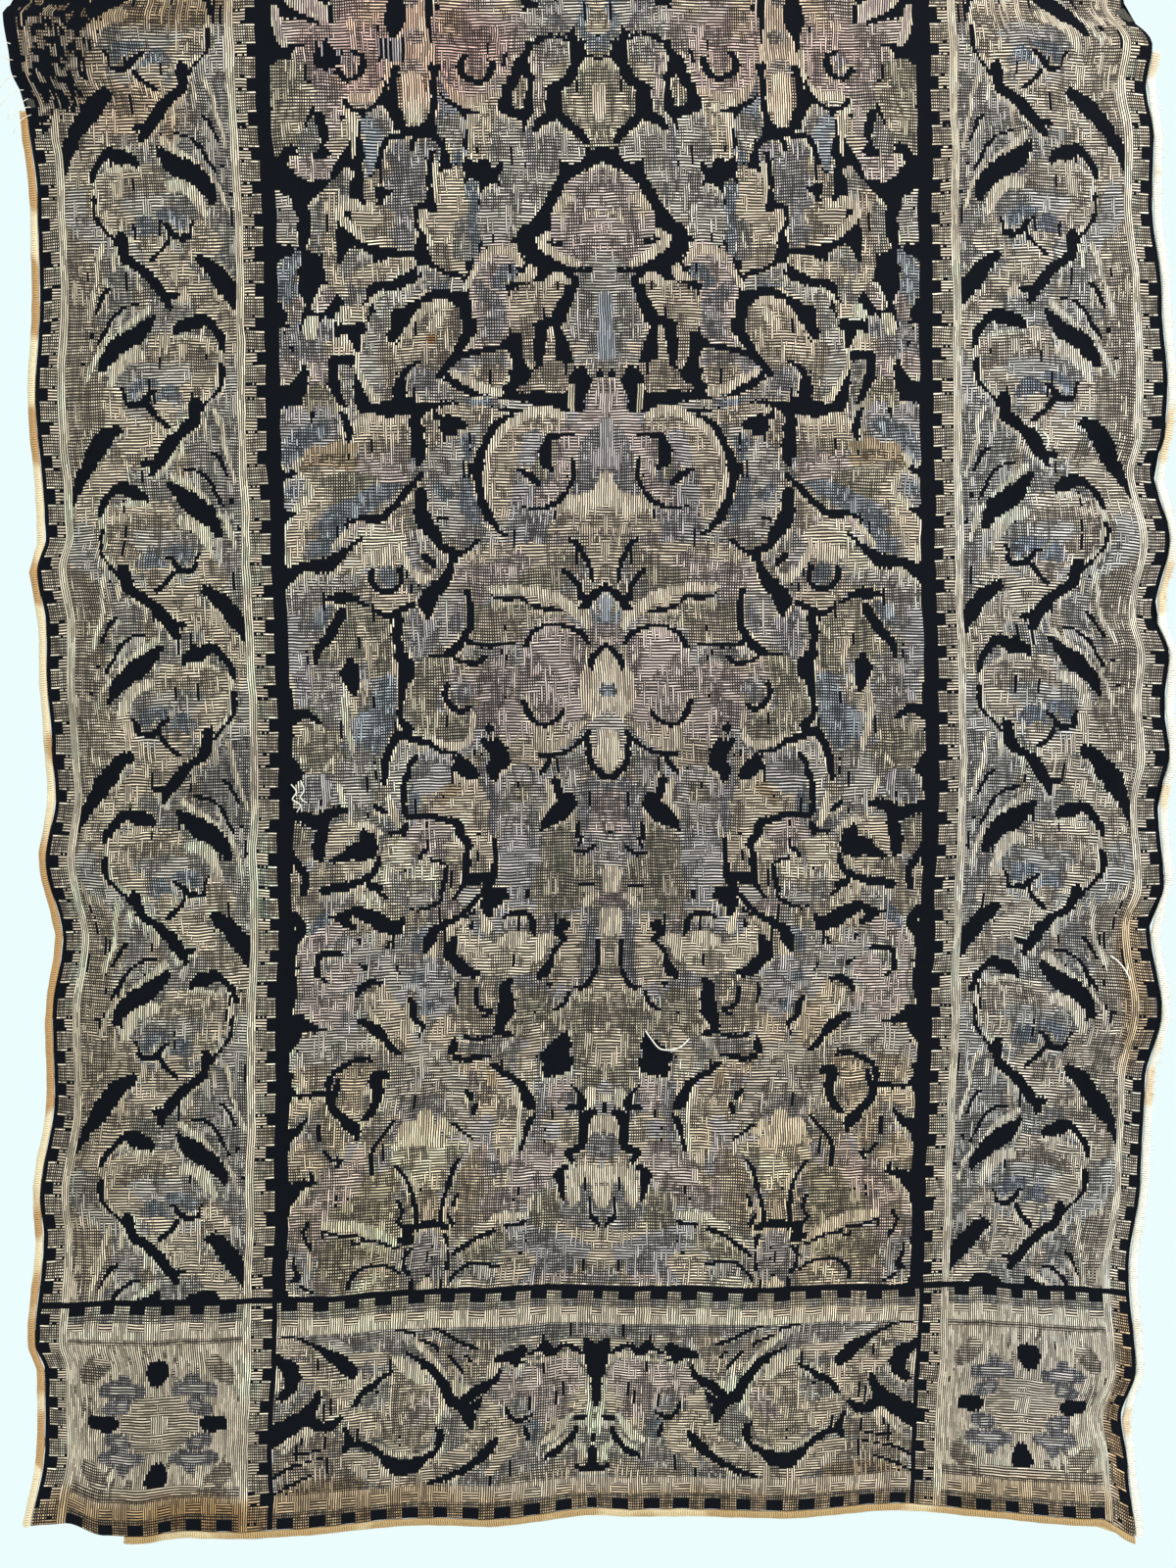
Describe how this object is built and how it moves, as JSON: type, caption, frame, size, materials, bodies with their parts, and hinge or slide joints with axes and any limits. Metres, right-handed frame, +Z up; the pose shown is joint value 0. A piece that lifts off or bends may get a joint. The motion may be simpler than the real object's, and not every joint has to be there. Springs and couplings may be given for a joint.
{
  "type": "woven tapestry panel",
  "caption": "Jacquard-woven floral tapestry panel with woven borders and overcast edges, hung by its top edge as a wall hanging.",
  "frame": {"origin": "middle of the top edge, halfway through the cloth's thickness", "axes": "+Z up, +X to the right of whoever faces the front, +Y away from them, so that the woven face looks along -Y"},
  "size_m": [0.6244, 0.0325, 0.8568],
  "materials": {
    "woven_cloth": "matte jacquard weave of tan, grey and rose yarns over a blue-black ground",
    "tan_thread": "matte twisted thread, wrapped over the edge",
    "cream_thread": "matte fuzzy thread, wrapped over the edge"
  },
  "bodies": {
    "root": {"tapestry_panel": "woven_cloth", "overcast_edge_left": "tan_thread", "overcast_edge_bottom": "tan_thread", "overcast_edge_right": "cream_thread"}
  },
  "joints": []
}
